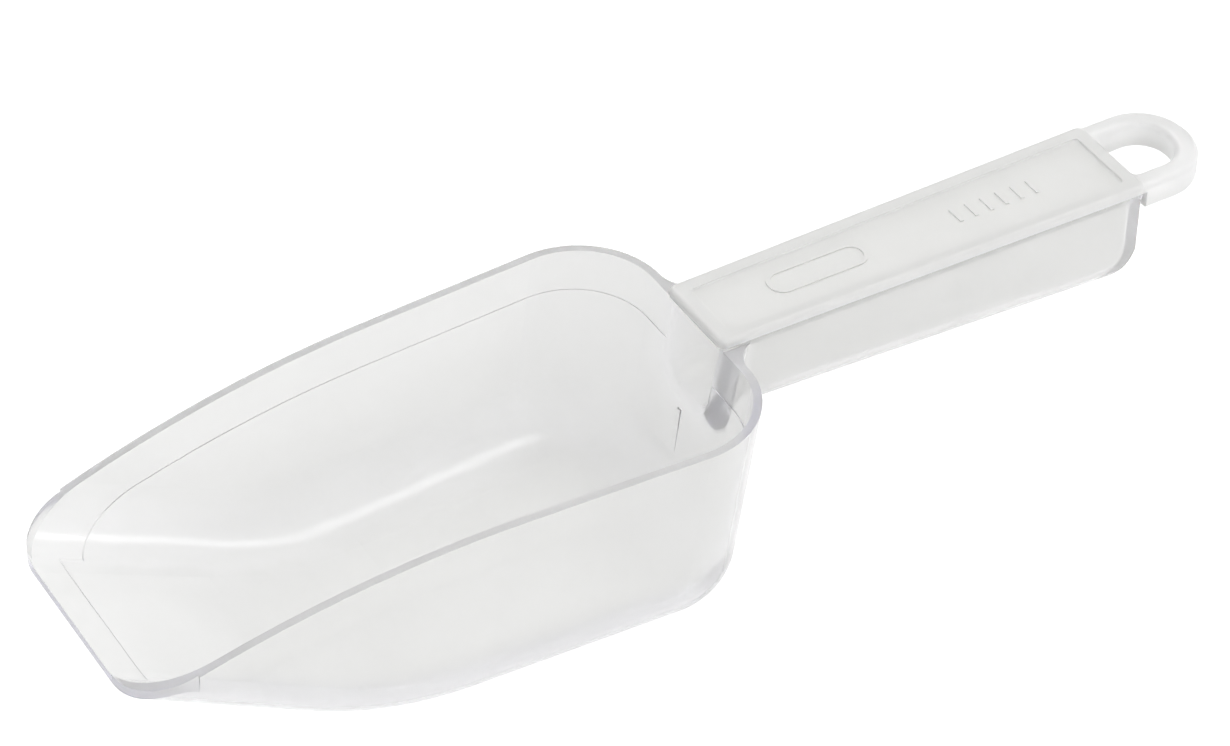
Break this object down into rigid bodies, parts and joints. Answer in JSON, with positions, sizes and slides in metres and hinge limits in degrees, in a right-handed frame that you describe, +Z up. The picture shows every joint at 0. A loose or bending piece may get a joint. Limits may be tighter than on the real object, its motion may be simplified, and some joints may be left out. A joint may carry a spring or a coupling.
{
  "type": "ice scoop",
  "caption": "Clear open-fronted ice scoop with a flat base, a ramped lip, a hollow trough handle and a frosted cover that ends in a hanging loop.",
  "frame": {"origin": "on the table plane, under the middle of the scoop's overall box", "axes": "+X from the lip towards the hanging loop, +Y across the bowl, +Z up from the flat base"},
  "size_m": [0.3018, 0.0827, 0.0561],
  "materials": {
    "clear_plastic": "polished clear polycarbonate",
    "frosted_plastic": "lightly frosted clear polycarbonate"
  },
  "bodies": {
    "root": {"scoop_body": "clear_plastic", "handle_cover": "frosted_plastic"}
  },
  "joints": []
}
